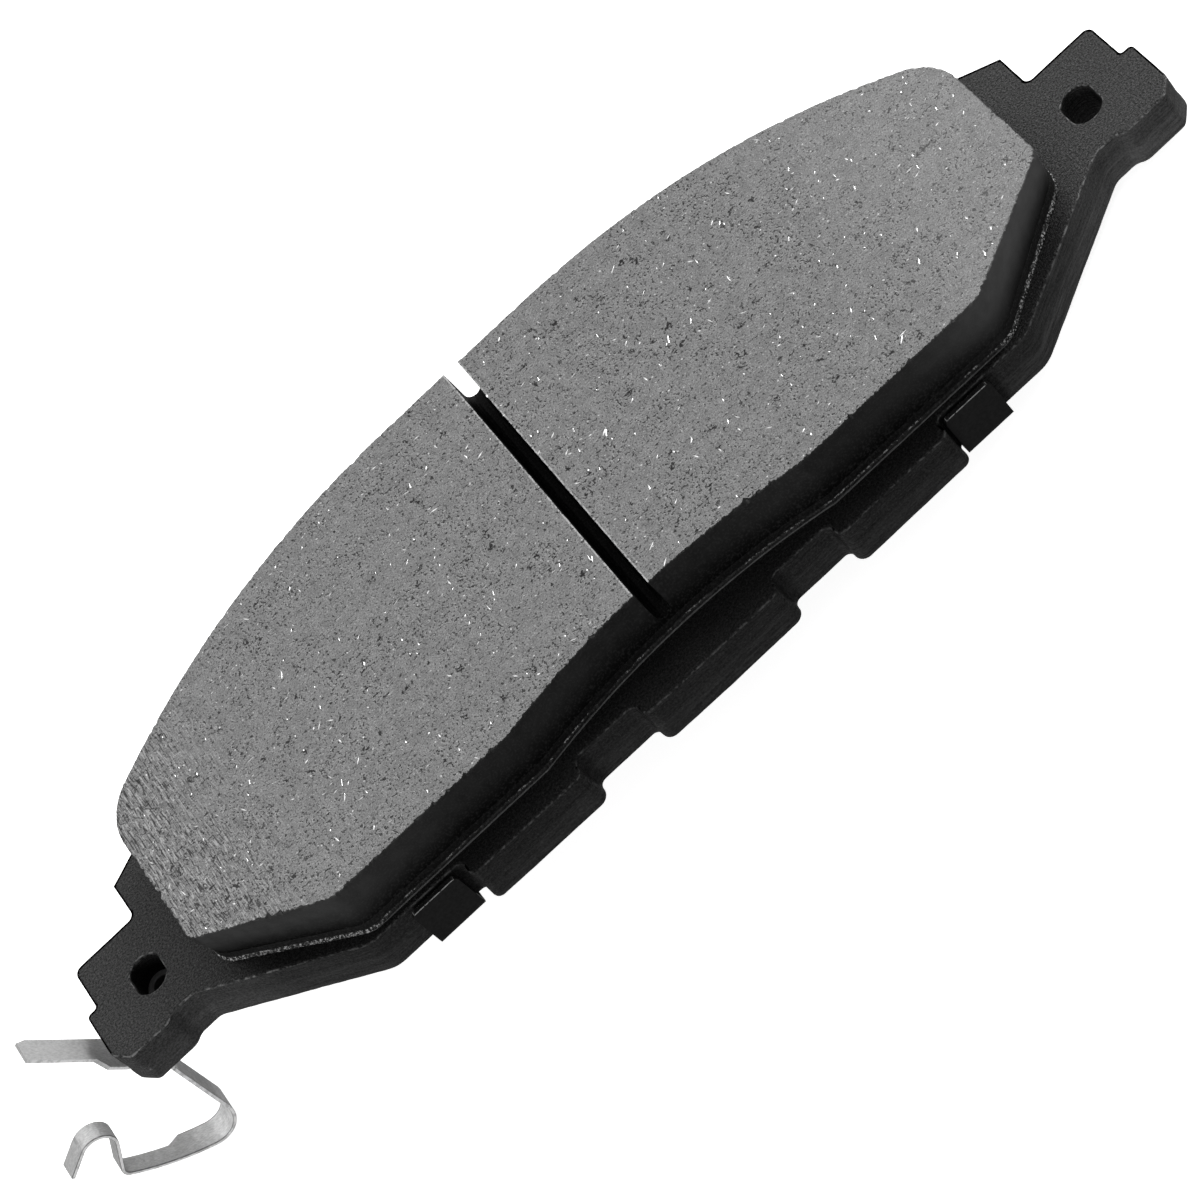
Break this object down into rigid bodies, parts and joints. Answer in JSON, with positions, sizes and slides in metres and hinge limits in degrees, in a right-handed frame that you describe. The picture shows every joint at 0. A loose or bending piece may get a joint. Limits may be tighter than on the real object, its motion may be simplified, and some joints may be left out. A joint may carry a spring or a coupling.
{
  "type": "disc brake pad",
  "caption": "Disc brake pad with a coated stamped steel backing plate, slotted friction block, back shim and a riveted wear indicator with a return spring.",
  "frame": {"origin": "midway between the two ear holes, on the front face of the backing plate", "axes": "+X along the pad towards the plain ear, +Y towards the convex outer arc, +Z out of the friction face towards the disc"},
  "size_m": [0.1768, 0.0545, 0.0315],
  "materials": {
    "coated_plate": "satin black powder coat",
    "friction_material": "ground, speckled with pits, fibres and metal slivers",
    "moulded_underlayer": "satin, with a pale speckled flash round its foot",
    "bond_adhesive": "cured film",
    "damping_rubber": "matt",
    "coated_shim": "smooth black coat",
    "plated_strip": "zinc-plated spring strip",
    "rivet_steel": "dull plated steel"
  },
  "bodies": {
    "pad": {"backing_plate": "coated_plate", "friction_block": "friction_material", "underlayer": "moulded_underlayer", "bond_film": "bond_adhesive", "damping_layer": "damping_rubber", "shim": "coated_shim", "wear_indicator": "plated_strip", "clip_rivet": "rivet_steel"},
    "spring_arm": {"return_spring": "plated_strip"}
  },
  "joints": [
    {"name": "spring_flex", "type": "hinge", "parent": "pad", "child": "spring_arm", "pos_m": [-0.077, -0.00517, -0.00722], "axis": [0, -1, 0], "range_deg": [0, 14], "stiffness_Nm_per_rad": 0.6}
  ]
}
